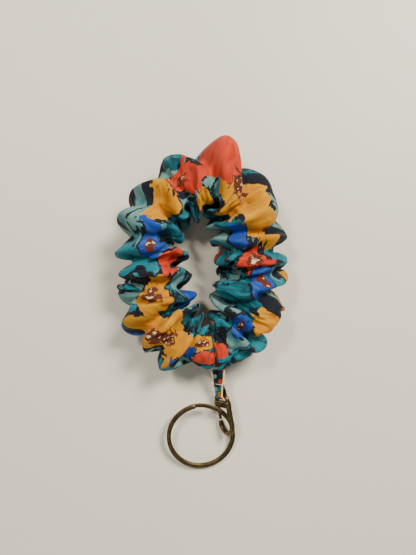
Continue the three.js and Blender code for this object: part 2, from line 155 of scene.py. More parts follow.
class Graph:
    """The node tree of one material."""

    def __init__(self, material: bpy.types.Material) -> None:
        material.use_nodes = True
        self.tree = material.node_tree
        self.surface = self.tree.nodes["Principled BSDF"]

    def node(self, kind: str, settings: dict | None = None, inputs: dict | None = None) -> bpy.types.Node:
        """Add a node.

        Args:
            kind: The node's type.
            settings: Its properties by name.
            inputs: Its socket values or links, by name or number.

        Returns:
            The new node.
        """
        node = self.tree.nodes.new(kind)
        for name, value in (settings or {}).items():
            setattr(node, name, value)
        for name, value in (inputs or {}).items():
            self.feed(node.inputs[name], value)
        return node

    def feed(self, socket: bpy.types.NodeSocket, value: object) -> None:
        """Link a socket, or set its value."""
        if isinstance(value, Value):
            self.tree.links.new(value.socket, socket)
        elif isinstance(value, bpy.types.NodeSocket):
            self.tree.links.new(value, socket)
        elif isinstance(value, tuple) and socket.type == "RGBA":
            socket.default_value = (*value, 1.0)
        else:
            socket.default_value = value

    def mix(self, factor: Value | float, low: object, high: object) -> bpy.types.NodeSocket:
        """Blend two colours by a factor."""
        node = self.node("ShaderNodeMix", {"data_type": "RGBA"})
        self.feed(node.inputs[0], factor)
        self.feed(node.inputs[6], low)
        self.feed(node.inputs[7], high)
        return node.outputs[2]

    def tint(self, colour: object, by: Value) -> bpy.types.NodeSocket:
        """Make a colour lighter or darker by a number."""
        node = self.node("ShaderNodeVectorMath", {"operation": "SCALE"}, {0: colour, "Scale": by})
        return node.outputs[0]

    def split(self, vector: object) -> tuple[Value, Value, Value]:
        """The three parts of a vector or colour."""
        node = self.node("ShaderNodeSeparateXYZ", None, {0: vector})
        return tuple(Value(self, output) for output in node.outputs)

    def join(self, x: object, y: object, z: object = 0.0) -> bpy.types.NodeSocket:
        """A vector of three numbers."""
        return self.node("ShaderNodeCombineXYZ", None, {0: x, 1: y, 2: z}).outputs[0]

    def vector(self, operation: str, a: object, b: object) -> bpy.types.NodeSocket:
        """One Vector Math node of two vectors."""
        return self.node("ShaderNodeVectorMath", {"operation": operation}, {0: a, 1: b}).outputs[0]

    def noise(self, at: object, scale: float, detail: float = 2.0, flat: bool = False) -> tuple[Value, object]:
        """A noise's number and colour."""
        settings = {"noise_dimensions": "2D" if flat else "3D"}
        inputs = {"Vector": at, "Scale": scale, "Detail": detail}
        node = self.node("ShaderNodeTexNoise", settings, inputs)
        return Value(self, node.outputs[0]), node.outputs[1]

    def place(self) -> bpy.types.NodeSocket:
        """The piece's own coordinates."""
        return self.node("ShaderNodeTexCoord").outputs["Object"]

    def cloth(self) -> bpy.types.NodeSocket:
        """The cloth's flat coordinates: 1 is 100 mm."""
        return self.node("ShaderNodeUVMap", {"uv_map": "cloth"}).outputs[0]

    def attribute(self, name: str) -> bpy.types.Node:
        """A stored attribute of the mesh."""
        return self.node("ShaderNodeAttribute", {"attribute_name": name})

    def finish(
        self,
        base: object,
        roughness: object,
        bump: Value | None = None,
        strength: float = 0.3,
        depth: float = 0.1 * MM,
        **constants: float,
    ) -> None:
        """Feed the surface shader.

        Args:
            base: Base colour.
            roughness: Roughness.
            bump: Height of the bump, from 0 to 1.
            strength: Strength of the bump.
            depth: Height in metres that 1 stands for.
            constants: Other sockets, with spaces written as underscores.
        """
        self.feed(self.surface.inputs["Base Color"], base)
        self.feed(self.surface.inputs["Roughness"], roughness)
        for name, value in constants.items():
            self.feed(self.surface.inputs[name.replace("_", " ")], value)
        if bump is not None:
            inputs = {"Height": bump, "Strength": strength, "Distance": depth}
            node = self.node("ShaderNodeBump", None, inputs)
            self.feed(self.surface.inputs["Normal"], node.outputs[0])


class Finish:
    """A material that is made once and shared."""

    name = "finish"

    def paint(self, graph: Graph) -> None:
        """Build the shader."""
        raise NotImplementedError

    def material(self) -> bpy.types.Material:
        """The finish's material."""
        found = bpy.data.materials.get(self.name)
        if found is None:
            found = bpy.data.materials.new(self.name)
            self.paint(Graph(found))
        return found


class Hue(Enum):
    """Colours of the print, in the order that they are laid over the ground."""

    TEAL = 0
    SAGE = 1
    MUSTARD = 2
    CORAL = 3
    BLUE = 4


@dataclass(frozen=True)
class Blossom:
    """One painted patch of the print: where it is along and round the tube, and how far it reaches."""

    along: float
    bearing: float
    reach: float
    hue: Hue
    heart: bool = False


@dataclass(frozen=True)
class Layout:
    """How the patches lie on a piece of the print."""

    blossoms: tuple[Blossom, ...]
    length: float
    girth_radius: float
    heart_share: float = 0.42

    def store(self, data: bpy.types.Mesh, along: np.ndarray, bearing: np.ndarray) -> None:
        """Store each hue's distance from its nearest patch, as a share of the patch's reach.

        Args:
            data: The mesh.
            along: Share of the length passed at each point.
            bearing: Bearing round the tube at each point, in radians.
        """
        near = {hue: np.full(len(along), 9.0) for hue in Hue}
        hearts = np.full(len(along), 9.0)
        for blossom in self.blossoms:
            turn = bearing - math.radians(blossom.bearing)
            round_by = (np.mod(turn + math.pi, math.tau) - math.pi) * self.girth_radius
            along_by = (along - blossom.along) * self.length
            away = np.hypot(along_by, round_by) / blossom.reach
            near[blossom.hue] = np.minimum(near[blossom.hue], away)
            if blossom.heart:
                beside = np.hypot(along_by - 0.12 * blossom.reach, round_by + 0.10 * blossom.reach)
                hearts = np.minimum(hearts, beside / (self.heart_share * blossom.reach))
        for name, columns in (
            ("blooms", (near[Hue.MUSTARD], near[Hue.CORAL], near[Hue.BLUE])),
            ("strokes", (near[Hue.TEAL], near[Hue.SAGE], hearts)),
        ):
            values = np.stack([*columns, np.ones(len(along))], 1)
            stored = data.attributes.new(name, "FLOAT_COLOR", "POINT")
            stored.data.foreach_set("color", values.reshape(-1))


@dataclass(frozen=True)
class PrintedCotton(Finish):
    """Cotton with painterly blossoms and leaves on a near-black ground."""

    name: str = "printed_cotton"
    raw_edge: bool = False
    ground: Colour = (0.006, 0.008, 0.014)
    deep_teal: Colour = (0.002, 0.050, 0.066)
    teal: Colour = (0.003, 0.150, 0.190)
    sage: Colour = (0.120, 0.250, 0.235)
    mustard: Colour = (0.490, 0.178, 0.000)
    light_mustard: Colour = (0.590, 0.305, 0.008)
    coral: Colour = (0.520, 0.050, 0.020)
    orange: Colour = (0.400, 0.020, 0.003)
    blue: Colour = (0.006, 0.045, 0.270)
    light_blue: Colour = (0.040, 0.150, 0.420)
    brown: Colour = (0.105, 0.020, 0.007)
    cream: Colour = (0.700, 0.520, 0.300)

    def leaves(self, graph: Graph, at: object, turn: float, scale: float) -> tuple[Value, Value, Value]:
        """Long leaves lying one way: inside mask, vein mask and a random number."""
        c, s = math.cos(turn), math.sin(turn)
        x, y, _ = graph.split(at)
        turned = graph.join(x * c + y * s, (y * c - x * s) * 2.3)
        cells = graph.node(
            "ShaderNodeTexVoronoi",
            {"voronoi_dimensions": "2D", "feature": "F1"},
            {"Vector": turned, "Scale": scale, "Randomness": 0.9},
        )
        lx, ly, _ = graph.split(graph.vector("SUBTRACT", turned, cells.outputs["Position"]))
        tip = 0.47 - (lx * scale).abs() * 0.55
        inside = ((ly * scale).abs() - tip).step(0.03, -0.03)
        vein = (ly * scale).abs().step(0.045, 0.01)
        return inside, vein, graph.split(cells.outputs["Color"])[0]

    def paint(self, graph: Graph) -> None:
        """Ground, leaves, painted patches, their hearts, and the weave, with painted shade between its threads."""
        cloth = graph.cloth()
        wobble = graph.vector("SUBTRACT", graph.noise(cloth, 11.0, 3.0, True)[1], (0.5, 0.5, 0.5))
        at = graph.vector("ADD", cloth, graph.node(
            "ShaderNodeVectorMath", {"operation": "SCALE"}, {0: wobble, "Scale": 0.06}).outputs[0])
        strokes = graph.node("ShaderNodeMapping", None, {"Vector": at, "Scale": (46.0, 13.0, 1.0)})
        brush = graph.noise(strokes.outputs[0], 1.0, 3.0, True)[0]
        wide = graph.noise(at, 9.0, 2.0, True)[0]
        fine = graph.noise(at, 34.0, 2.0, True)[0]
        ragged = (wide - 0.5) * 1.5 + (fine - 0.5) * 0.5

        colour: object = self.ground
        for turn, scale, lift in ((0.6, 4.6, 0.0), (-0.9, 5.2, 0.35)):
            inside, vein, pick = self.leaves(graph, at, turn, scale)
            pick = (pick + brush * 0.25 + lift * 0.2 - 0.05).clamp()
            leaf = graph.mix(pick.step(0.45, 0.52), self.deep_teal, self.teal)
            leaf = graph.mix(pick.step(0.84, 0.90), leaf, self.sage)
            leaf = graph.mix(vein * 0.4, leaf, self.sage)
            colour = graph.mix(inside * (pick > 0.43), colour, leaf)

        mustard, coral, blue = graph.split(graph.attribute("blooms").outputs["Color"])
        teal, sage, heart = graph.split(graph.attribute("strokes").outputs["Color"])
        light = (brush - 0.5) * 2.2 + 0.4
        layers = (
            (teal, graph.mix(light.step(0.0, 0.9), self.deep_teal, self.teal)),
            (sage, graph.mix(light.step(-0.2, 0.6), self.teal, self.sage)),
            (mustard, graph.mix(light.step(0.1, 1.2), self.mustard, self.light_mustard)),
            (coral, graph.mix(light.step(-0.1, 0.8), self.orange, self.coral)),
            (blue, graph.mix(light.step(0.3, 1.3), self.blue, self.light_blue)),
        )
        for away, paint in layers:
            edge = away + ragged
            rim = edge.step(0.72, 0.92) * 0.35
            halo = edge.step(1.24, 1.14) * (brush + wide > 0.92)
            colour = graph.mix(halo, colour, self.ground)
            colour = graph.mix(edge.step(1.02, 0.96), colour, graph.mix(rim, paint, self.light_mustard)
                               if away is mustard else paint)

        swirl = (wide * 9.0 + fine * 1.2).sin().abs().step(0.13, 0.03)
        near = mustard.math("MINIMUM", coral).math("MINIMUM", blue)
        colour = graph.mix(swirl * near.step(0.75, 0.55) * (fine > 0.48) * 0.85, colour, self.brown)
        core = heart + (fine - 0.5) * 1.7 + (wide - 0.5) * 1.2
        colour = graph.mix(core.step(1.03, 0.93), colour, self.brown)
        stamens = graph.node("ShaderNodeMapping", None, {"Vector": cloth, "Scale": (48.0, 30.0, 1.0)})
        speck = graph.noise(stamens.outputs[0], 1.0, 2.0, True)[0].step(0.57, 0.62)
        colour = graph.mix(core.step(0.85, 0.70) * speck, colour, self.cream)

        if self.raw_edge:
            edge = Value(graph, graph.attribute("raw_edge").outputs["Fac"])
            colour = graph.mix(edge.step(0.35, 0.75), colour, self.cream)

        u, v, _ = graph.split(cloth)
        warp = (u * (math.tau * 240.0)).sin()
        weft = (v * (math.tau * 240.0)).sin()
        weave = warp * weft * 0.25 + 0.5
        slub = graph.noise(cloth, 160.0, 3.0, True)[0]
        # slub is random tone of the yarn; the weave term is painted shade, lighter on the raised thread crossings and
        # darker between them
        colour = graph.tint(colour, 0.88 + slub * 0.16 + weave * 0.08)
        rough = 0.72 + slub * 0.2
        pleats = graph.node("ShaderNodeMapping", None, {"Vector": cloth, "Scale": (34.0, 5.0, 1.0)})
        crease = graph.noise(pleats.outputs[0], 1.0, 2.0, True)[0]
        graph.finish(colour, rough, weave * 0.10 + slub * 0.06 + crease, 0.75, 0.55 * MM,
                     Sheen_Weight=0.06, Sheen_Roughness=0.45, Specular_IOR_Level=0.22)


@dataclass(frozen=True)
class SewingThread(Finish):
    """Twisted polyester thread."""

    name: str = "twisted_thread"
    colour: Colour = (0.80, 0.78, 0.73)

    def paint(self, graph: Graph) -> None:
        """Slanting plies with a little fuzz, and painted shade in the grooves between the plies."""
        x, y, z = graph.split(graph.place())
        plies = ((x + y * 1.3 + z * 0.8) * 9000.0).sin() * 0.5 + 0.5
        fuzz = graph.noise(graph.place(), 2600.0)[0]
        # painted shade: the colour follows the plies' height, darker in the grooves between them; fuzz is random tone
        colour = graph.tint(self.colour, 0.74 + plies * 0.22 + fuzz * 0.12)
        graph.finish(colour, 0.55 + fuzz * 0.3, plies, 0.6, 0.05 * MM, Sheen_Weight=0.2)


@dataclass(frozen=True)
class KnittedElastic(Finish):
    """White braided elastic with ribs along it."""

    name: str = "knitted_elastic"
    colour: Colour = (0.82, 0.79, 0.72)

    def paint(self, graph: Graph) -> None:
        """Ribs across the strip's height and knit along it, with painted shade in the valleys between the ribs."""
        x, y, z = graph.split(graph.place())
        ribs = (z * (math.tau * 1100.0)).sin() * 0.5 + 0.5
        knit = ((x + y) * (math.tau * 900.0)).sin() * 0.5 + 0.5
        fuzz = graph.noise(graph.place(), 1500.0)[0]
        # painted shade: the colour follows the ribs' height, darker in the valleys between them; fuzz is random tone
        colour = graph.tint(self.colour, 0.70 + ribs * 0.2 + fuzz * 0.15)
        graph.finish(colour, 0.75 + fuzz * 0.2, ribs * 0.6 + knit * 0.4, 0.6, 0.15 * MM, Sheen_Weight=0.3)


@dataclass(frozen=True)
class AntiqueBrass(Finish):
    """Brass darkened in its hollows and rubbed bright on its edges."""

    name: str = "aged_brass"
    dark: Colour = (0.070, 0.047, 0.020)
    middle: Colour = (0.190, 0.128, 0.052)
    bright: Colour = (0.460, 0.330, 0.150)

    def paint(self, graph: Graph) -> None:
        """Patina by noise, wear by the stored edge map, and fine scratches."""
        place = graph.place()
        wear = Value(graph, graph.attribute("wear").outputs["Fac"])
        cloudy = graph.noise(place, 420.0, 4.0)[0]
        fine = graph.noise(place, 2600.0, 3.0)[0]
        scratch_at = graph.node("ShaderNodeMapping", None, {"Vector": place, "Scale": (900.0, 5200.0, 2400.0)})
        scratches = graph.noise(scratch_at.outputs[0], 1.0, 1.0)[0].step(0.62, 0.72)
        rubbed = (cloudy * 0.9 + fine * 0.4 + wear * 0.8 - 0.55).step(0.0, 0.75)
        base = graph.mix(rubbed, self.dark, self.middle)
        base = graph.mix((rubbed * wear * 0.9 + scratches * 0.10).clamp(), base, self.bright)
        rough = 0.46 - rubbed * 0.20 + fine * 0.10
        graph.finish(base, rough, fine * 0.5 + cloudy * 0.5, 0.18, 0.05 * MM, Metallic=1.0)


@dataclass(frozen=True)
class SpringWire(Finish):
    """Bright drawn steel wire."""

    name: str = "drawn_wire"

    def paint(self, graph: Graph) -> None:
        """Drawn lines and slight oxide."""
        fine = graph.noise(graph.place(), 3000.0, 3.0)[0]
        base = graph.mix(fine, (0.30, 0.30, 0.30), (0.56, 0.56, 0.55))
        graph.finish(base, 0.25 + fine * 0.2, fine, 0.1, 0.02 * MM, Metallic=1.0)


@dataclass(frozen=True)
class PaleStone(Finish):
    """The plain pale surface that the keychain lies on."""

    name: str = "pale_stone"
    colour: Colour = (0.790, 0.740, 0.610)

    def paint(self, graph: Graph) -> None:
        """Very faint clouding and a soft polish."""
        cloudy = graph.noise(graph.place(), 7.0, 3.0)[0]
        colour = graph.tint(self.colour, 0.96 + cloudy * 0.07)
        graph.finish(colour, 0.42 + cloudy * 0.1, cloudy, 0.02, 0.05 * MM, Specular_IOR_Level=0.35)


# ---------------------------------------------------------------- mesh helpers


def piece(name: str, mesh: bmesh.types.BMesh, finish: Finish, smooth: bool = True) -> bpy.types.Object:
    """Turn finished mesh data into an object with its material.

    Args:
        name: The piece's name.
        mesh: The mesh, which is freed.
        finish: Its finish.
        smooth: Whether it is shaded smooth.

    Returns:
        The new object, at the origin.
    """
    data = bpy.data.meshes.new(name)
    mesh.to_mesh(data)
    mesh.free()
    data.polygons.foreach_set("use_smooth", [smooth] * len(data.polygons))
    made = bpy.data.objects.new(name, data)
    bpy.context.scene.collection.objects.link(made)
    data.materials.append(finish.material())
    return made


def baked(made: bpy.types.Object) -> bpy.types.Object:
    """Apply an object's modifiers into its mesh."""
    state = made.evaluated_get(bpy.context.evaluated_depsgraph_get())
    data = bpy.data.meshes.new_from_object(state, preserve_all_data_layers=True,
                                           depsgraph=bpy.context.evaluated_depsgraph_get())
    old = made.data
    made.modifiers.clear()
    made.data = data
    data.name = made.name
    bpy.data.meshes.remove(old)
    return made


def subdivided(made: bpy.types.Object, levels: int) -> bpy.types.Object:
    """Give a piece a subdivision surface."""
    step = made.modifiers.new("smooth", "SUBSURF")
    step.levels = step.render_levels = levels
    return made


@dataclass
class Station:
    """One section of a sweep: an ellipse, or a rounder box, in the plane of u and v."""

    centre: Vector
    u: Vector
    v: Vector
    reach_u: float
    reach_v: float
    square: float = 2.0

    def point(self, angle: float) -> Vector:
        """A point of the section's outline."""
        c, s = math.cos(angle), math.sin(angle)
        across = math.copysign(abs(c) ** (2.0 / self.square), c) * self.reach_u
        along = math.copysign(abs(s) ** (2.0 / self.square), s) * self.reach_v
        return self.centre + self.u * across + self.v * along


def sweep(mesh: bmesh.types.BMesh, stations: Sequence[Station], sides: int, capped: bool = True) -> list[list]:
    """Extrude a round section along stations.

    Args:
        mesh: The mesh to add to.
        stations: Sections in order.
        sides: Points of a section.
        capped: Whether both ends are closed.

    Returns:
        The vertices of each section.
    """
    ring = bmesh.ops.create_circle(mesh, cap_ends=False, segments=sides, radius=1.0)["verts"]
    edges = list({edge for vertex in ring for edge in vertex.link_edges})
    rings = [list(ring)]
    for _ in stations[1:]:
        grown = bmesh.ops.extrude_edge_only(mesh, edges=edges)["geom"]
        new = [item for item in grown if isinstance(item, bmesh.types.BMVert)]
        edges = [item for item in grown if isinstance(item, bmesh.types.BMEdge)
                 and all(vertex in new for vertex in item.verts)]
        follow = {}
        for vertex in new:
            for edge in vertex.link_edges:
                other = edge.other_vert(vertex)
                if other in rings[-1]:
                    follow[rings[-1].index(other)] = vertex
        rings.append([follow[i] for i in range(sides)])
    for station, row in zip(stations, rings):
        for j, vertex in enumerate(row):
            vertex.co = station.point(math.tau * (j + 0.5) / sides)
    if capped:
        mesh.faces.new(rings[0])
        mesh.faces.new(rings[-1])
    bmesh.ops.recalc_face_normals(mesh, faces=mesh.faces)
    return rings


def along_path(points: Sequence[Vector], normal: Vector, reach: Callable[[float], tuple[float, float]],
               square: float = 2.0) -> list[Station]:
    """Stations along a flat path.

    Args:
        points: The path.
        normal: The direction square to the plane that the path lies in.
        reach: Half sizes in the plane and along the normal, from the share of the path passed.
        square: How square the section is.

    Returns:
        One station for each point.
    """
    stations = []
    for i, point in enumerate(points):
        ahead = points[min(i + 1, len(points) - 1)] - points[max(i - 1, 0)]
        side = ahead.normalized().cross(normal).normalized()
        in_plane, out = reach(i / (len(points) - 1))
        stations.append(Station(point, side, normal, in_plane, out, square))
    return stations


def arc(centre: Vector, x: Vector, y: Vector, radius: float, start: float, end: float, count: int) -> list[Vector]:
    """Points of an arc in the plane of x and y, angles in degrees."""
    angles = [math.radians(lerp(start, end, i / count)) for i in range(count + 1)]
    return [centre + x * (radius * math.cos(a)) + y * (radius * math.sin(a)) for a in angles]


def mark_wear(data: bpy.types.Mesh, reach: float) -> None:
    """Store how far each point stands out from its neighbours, as wear on edges.

    Args:
        data: The mesh.
        reach: Height in metres that counts as fully worn.
    """
    mesh = bmesh.new()
    mesh.from_mesh(data)
    mesh.normal_update()
    height = []
    for vertex in mesh.verts:
        around = [edge.other_vert(vertex).co for edge in vertex.link_edges]
        middle = sum(around, Vector()) / max(len(around), 1)
        height.append((vertex.co - middle).dot(vertex.normal) / reach)
    for _ in range(2):
        height = [
            0.5 * height[v.index] + 0.5 * sum(height[e.other_vert(v).index] for e in v.link_edges)
            / max(len(v.link_edges), 1)
            for v in mesh.verts
        ]
    mesh.free()
    stored = data.attributes.new("wear", "FLOAT", "POINT")
    stored.data.foreach_set("value", [min(max(value, 0.0), 1.0) for value in height])


def cast(name: str, mesh: bmesh.types.BMesh, voxel: float, finish: Finish) -> bpy.types.Object:
    """Fuse overlapping solids into one cast piece with soft inner corners.

    Args:
        name: The piece's name.
        mesh: The overlapping solids.
        voxel: Grain of the fused surface.
        finish: Its finish.

    Returns:
        The cast piece.
    """
    scale = 100.0
    bmesh.ops.scale(mesh, vec=(scale, scale, scale), verts=mesh.verts)
    made = piece(name, mesh, finish)
    fuse = made.modifiers.new("fuse", "REMESH")
    fuse.mode = "VOXEL"
    fuse.voxel_size = voxel * scale * 1.0
    fuse.use_smooth_shade = True
    soften = made.modifiers.new("soften", "SMOOTH")
    soften.factor = 0.5
    soften.iterations = 5
    baked(made)
    made.data.transform(Matrix.Scale(1.0 / scale, 4))
    made.data.polygons.foreach_set("use_smooth", [True] * len(made.data.polygons))
    if not made.data.materials:
        made.data.materials.append(finish.material())
    mark_wear(made.data, voxel * 0.12)
    return made


# ---------------------------------------------------------------- where the parts meet


class Pivots:
    """Places and directions of the joints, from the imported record."""

    def __init__(self, record: dict) -> None:
        joints = {joint["name"]: joint for joint in record["behaviour"]["joints"]}
        self.seam = Vector(joints["tab_flex"]["pos_m"])
        self.across = Vector(joints["tab_flex"]["axis"]).normalized()
        self.bar = Vector(joints["clasp_swing"]["pos_m"])
        self.bar_axis = Vector(joints["clasp_swing"]["axis"]).normalized()
        self.pin = Vector(joints["lever_open"]["pos_m"])
        self.face = Vector(joints["lever_open"]["axis"]).normalized()
        self.back = self.face.cross(self.bar_axis).normalized()

    def local(self, x: float, y: float, z: float = 0.0) -> Vector:
        """A point of the clasp's own frame: x along the bar, y away from the claw, z along the pin."""
        return self.bar + self.bar_axis * x + self.back * y + self.face * z


# ---------------------------------------------------------------- the loop


@dataclass
class Loop:
    """The line that the sleeve and the elastic follow, seen from above."""

    half_width: float = 19.8 * MM
    far: float = 35.5 * MM
    near: float = 38.5 * MM
    seam_aside: float = 5.4 * MM
    seam_rise: float = math.radians(24.0)
    side_end: float = -6.0 * MM
    height: float = 12.6 * MM
    middle: Vector = field(default_factory=Vector)

    def points(self) -> np.ndarray:
        """Points along the loop, anticlockwise from the seam."""
        seam = Vector((self.seam_aside, -self.near, 0.0))
        drop = 0.5 * (self.side_end + self.near)
        rows: list[Vector] = []
        for side in (1, -1):
            reach = 0.55 * (self.half_width - side * self.seam_aside)
            leave = seam + Vector((side * reach * math.cos(self.seam_rise), reach * math.sin(self.seam_rise), 0.0))
            corner = Vector((side * self.half_width, self.side_end, 0.0))
            above = corner - Vector((0.0, drop, 0.0))
            curve = geometry.interpolate_bezier(seam, leave, above, corner, 60)
            rows += curve if side > 0 else list(reversed(curve))
            if side > 0:
                centre = Vector((0.0, self.far - self.half_width, 0.0))
                rows += arc(centre, Vector((1, 0, 0)), Vector((0, 1, 0)), self.half_width, 0.0, 180.0, 120)
        line = np.array([tuple(self.middle + row) for row in rows])
        line[:, 2] += self.height
        return line


class Curve:
    """A polyline that can be read by the share of its length."""

    def __init__(self, line: np.ndarray) -> None:
        steps = np.linalg.norm(np.diff(line, axis=0), axis=1)
        self.line = line[np.concatenate([[True], steps > 1e-9])]
        steps = np.linalg.norm(np.diff(self.line, axis=0), axis=1)
        self.passed = np.concatenate([[0.0], np.cumsum(steps)])
        self.length = float(self.passed[-1])

    def at(self, share: np.ndarray) -> np.ndarray:
        """Points at shares of the length."""
        along = np.clip(share, 0.0, 1.0) * self.length
        return np.stack([np.interp(along, self.passed, self.line[:, k]) for k in range(3)], -1)

    def direction(self, share: np.ndarray) -> np.ndarray:
        """Unit directions at shares of the length."""
        ahead = self.at(share + 2e-3) - self.at(share - 2e-3)
        return ahead / np.linalg.norm(ahead, axis=-1, keepdims=True)


@dataclass
class Sleeve:
    """The gathered fabric tube, made as a flat tube and gathered by a cloth simulation."""

    loop: Loop
    cut_length: float = 262 * MM
    cut_width: float = 92 * MM
    folds: float = 17.0
    mean_radius: float = 12.8 * MM
    fold_depth: float = 4.3 * MM
    flatness: float = 0.82
    end_radius: float = 5.2 * MM
    taper_share: float = 0.10
    end_stretch: float = 1.7
    end_share: float = 0.0015
    leave: tuple[float, float, float] = (0.1736, -0.9848, 0.0)
    core_radius: float = 6.4 * MM
    rows: int = 170
    sides: int = 32
    frames: int = 16
    fullness: float = 1.7
    inner_tuck: float = 0.04
    pressure: float = 4.0
    slant: float = 3.2
    peak_at: float = 0.452
    peak_rise: float = 7.0 * MM
    peak_share: float = 0.029
    blossoms: tuple[Blossom, ...] = (
        Blossom(0.011, 85, 4.5 * MM, Hue.CORAL),
        Blossom(0.061, 78, 5.0 * MM, Hue.SAGE),
        Blossom(0.094, 84, 5.2 * MM, Hue.BLUE, True),
        Blossom(0.122, 139, 6.5 * MM, Hue.SAGE),
        Blossom(0.134, 45, 6.5 * MM, Hue.MUSTARD),
        Blossom(0.178, 105, 8.5 * MM, Hue.TEAL),
        Blossom(0.216, 65, 5.0 * MM, Hue.BLUE, True),
        Blossom(0.268, 78, 7.0 * MM, Hue.CORAL, True),
        Blossom(0.288, 146, 6.5 * MM, Hue.TEAL),
        Blossom(0.312, 48, 4.6 * MM, Hue.MUSTARD),
        Blossom(0.326, 98, 4.2 * MM, Hue.BLUE),
        Blossom(0.342, 58, 5.2 * MM, Hue.MUSTARD),
        Blossom(0.369, 100, 6.5 * MM, Hue.TEAL),
        Blossom(0.402, 62, 8.0 * MM, Hue.MUSTARD, True),
        Blossom(0.395, 105, 5.5 * MM, Hue.MUSTARD),
        Blossom(0.432, 88, 5.0 * MM, Hue.SAGE),
        Blossom(0.452, 35, 7.4 * MM, Hue.CORAL),
        Blossom(0.476, 112, 5.2 * MM, Hue.MUSTARD),
        Blossom(0.512, 62, 6.4 * MM, Hue.CORAL, True),
        Blossom(0.543, 62, 6.5 * MM, Hue.MUSTARD),
        Blossom(0.568, 90, 6.5 * MM, Hue.MUSTARD),
        Blossom(0.611, 79, 5.5 * MM, Hue.SAGE),
        Blossom(0.596, 120, 5.0 * MM, Hue.TEAL),
        Blossom(0.640, 88, 5.8 * MM, Hue.BLUE, True),
        Blossom(0.695, 122, 5.6 * MM, Hue.CORAL),
        Blossom(0.757, 85, 8.0 * MM, Hue.MUSTARD, True),
        Blossom(0.798, 112, 6.5 * MM, Hue.TEAL),
        Blossom(0.787, 160, 4.5 * MM, Hue.BLUE),
        Blossom(0.850, 78, 11.0 * MM, Hue.MUSTARD, True),
        Blossom(0.885, 150, 6.5 * MM, Hue.TEAL),
        Blossom(0.928, 70, 5.0 * MM, Hue.BLUE),
        Blossom(0.963, 104, 6.0 * MM, Hue.MUSTARD, True),
        Blossom(0.985, 60, 4.5 * MM, Hue.CORAL),
    )

    def wander(self, seed: int, share: np.ndarray, angle: np.ndarray, waves: float, turns: int, size: float) -> np.ndarray:
        """A smooth random field over the tube.

        Args:
            seed: Which field.
            share: Share of the loop passed.
            angle: Bearing round the tube.
            waves: Most waves along the loop.
            turns: Most waves round the tube.
            size: Size of the field.

        Returns:
            The field's value at each point.
        """
        pick = np.random.default_rng(seed)
        total = np.zeros(np.broadcast(share, angle).shape)
        for _ in range(6):
            height = pick.normal() * size / 2.5
            along = pick.uniform(0.3, 1.0) * waves
            total += height * np.sin(math.tau * along * share + pick.integers(0, turns + 1) * angle
                                     + pick.uniform(0.0, math.tau))
        return total

    def gathered(self) -> np.ndarray:
        """The tube pushed together along the loop, before the cloth settles: rows of points."""
        curve = Curve(self.loop.points())
        share = np.linspace(self.end_share, 1.0 - self.end_share, self.rows)
        angle = (np.arange(self.sides) + 0.5) / self.sides * math.tau - 0.5 * math.pi
        centre, ahead = curve.at(share), curve.direction(share)
        out = np.cross(ahead, np.array(UP))
        join = np.clip(1.0 - np.minimum(share, 1.0 - share) / 0.05, 0.0, 1.0)[:, None]
        out = out * (1.0 - join) + np.array(self.leave) * join
        out /= np.linalg.norm(out, axis=1, keepdims=True)
        s, t = np.meshgrid(share, angle, indexing="ij")
        near_end = np.clip(np.minimum(s, 1.0 - s) / self.taper_share, 0.0, 1.0)
        full = near_end * near_end * (3.0 - 2.0 * near_end)
        slant = self.slant * np.sin(t + self.wander(7, s, 0.0 * t, 5.0, 0, 2.5))
        phase = (math.tau * self.folds * s + slant + self.wander(1, s, t, 6.0, 2, 2.2)
                 + self.wander(2, s, t, 14.0, 3, 0.9))
        crest = phase[np.abs(share - self.peak_at).argmin(), np.abs(angle - 0.5).argmin()]
        phase += 0.5 * math.pi - crest
        depth = self.fold_depth * (1.0 + 0.35 * self.wander(3, s, t, 10.0, 3, 0.6))
        inward = np.clip(-np.cos(t), 0.0, 1.0)
        radius = (self.mean_radius + depth * np.sin(phase)) * (1.0 - self.inner_tuck * inward)
        radius = self.end_radius + (radius - self.end_radius) * full
        rise = np.exp(-(((s - self.peak_at) / self.peak_share) ** 2)) * np.clip(np.cos(t - 0.5), 0.0, 1.0)
        radius = radius + self.peak_rise * rise
        stretch = 1.0 + (self.end_stretch - 1.0) * join[:, None, :]
        swell = np.cos(t)[..., None] * out[:, None, :] * stretch
        centre = centre - np.array(self.leave) * (self.end_radius * (self.end_stretch - 1.0)) * join
        lift = np.sin(t)[..., None] * np.array(UP) * self.flatness
        return centre[:, None, :] + radius[..., None] * (swell + lift)

    def core(self, scale: float) -> bpy.types.Object:
        """The elastic's room inside the sleeve, which the cloth can't enter."""
        curve = Curve(self.loop.points())
        mesh = bmesh.new()
        share = np.linspace(0.0, 1.0, 80)
        stations = []
        for place, ahead in zip(curve.at(share), curve.direction(share)):
            side = Vector(ahead).cross(UP).normalized()
            stations.append(Station(Vector(place) * scale, side, UP, self.core_radius * scale,
                                    self.core_radius * self.flatness * scale))
        sweep(mesh, stations, 10)
        return piece("core_form", mesh, KnittedElastic())

